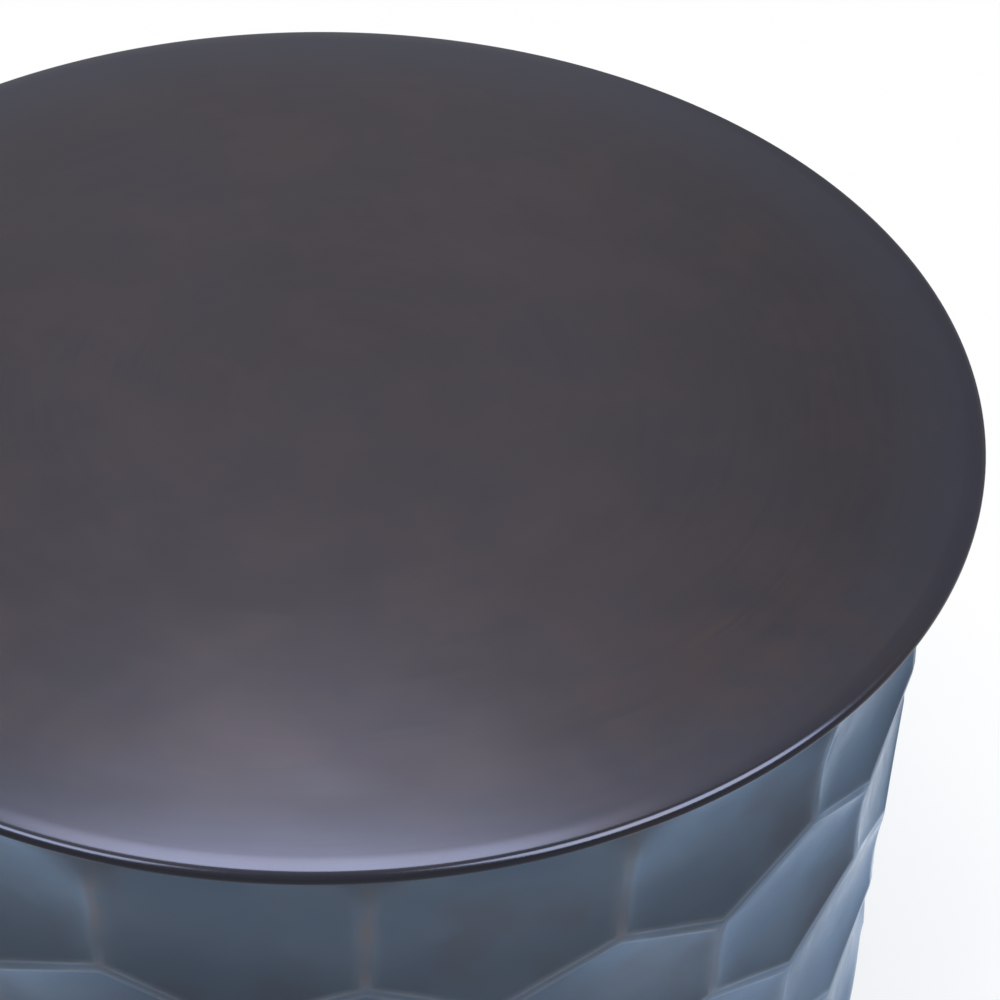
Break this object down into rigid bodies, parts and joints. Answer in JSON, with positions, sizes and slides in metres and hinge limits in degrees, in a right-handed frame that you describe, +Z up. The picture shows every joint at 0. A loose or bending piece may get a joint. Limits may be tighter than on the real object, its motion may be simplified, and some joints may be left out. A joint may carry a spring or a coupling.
{
  "type": "storage coffee table",
  "caption": "Round drum-shaped storage coffee table in dark patinated metal, with a lift-off round-edged lid and a tapered wall of scooped six-sided facets.",
  "frame": {"origin": "centre of the footprint, on the floor under the glides", "axes": "+Z up, along the drum's axis; -Y faces the front, where a facet border of the top row stands"},
  "size_m": [0.72, 0.72, 0.417],
  "materials": {
    "patina_wall": "dark blue-grey patina, satin lacquer",
    "patina_lid": "dark bronze patina, satin lacquer",
    "frame_paint": "satin black paint",
    "board_black": "black stained board",
    "bumper_rubber": "matt",
    "glide_plastic": "matt",
    "screw_zinc": "zinc plated"
  },
  "bodies": {
    "drum": {"drum_shell": "patina_wall", "rim_hoop": "frame_paint", "base_hoop": "frame_paint", "floor_panel": "board_black", "rim_bumper_1": "bumper_rubber", "rim_bumper_2": "bumper_rubber", "rim_bumper_3": "bumper_rubber", "rim_bumper_4": "bumper_rubber", "rim_bumper_5": "bumper_rubber", "rim_bumper_6": "bumper_rubber", "rim_bumper_7": "bumper_rubber", "rim_bumper_8": "bumper_rubber", "floor_screw_1": "screw_zinc", "floor_screw_2": "screw_zinc", "floor_screw_3": "screw_zinc", "floor_screw_4": "screw_zinc", "floor_screw_5": "screw_zinc", "floor_screw_6": "screw_zinc", "floor_screw_7": "screw_zinc", "floor_screw_8": "screw_zinc", "glide_1": "glide_plastic", "glide_2": "glide_plastic", "glide_3": "glide_plastic", "glide_4": "glide_plastic", "glide_5": "glide_plastic", "glide_6": "glide_plastic"},
    "lid": {"lid_top": "patina_lid", "lid_hoop": "frame_paint", "lid_brace_long": "frame_paint", "lid_brace_short_1": "frame_paint", "lid_brace_short_2": "frame_paint"}
  },
  "joints": [
    {"name": "lid_lift", "type": "slide", "parent": "drum", "child": "lid", "axis": [0, 0, 1], "range_m": [0, 0.4]}
  ]
}
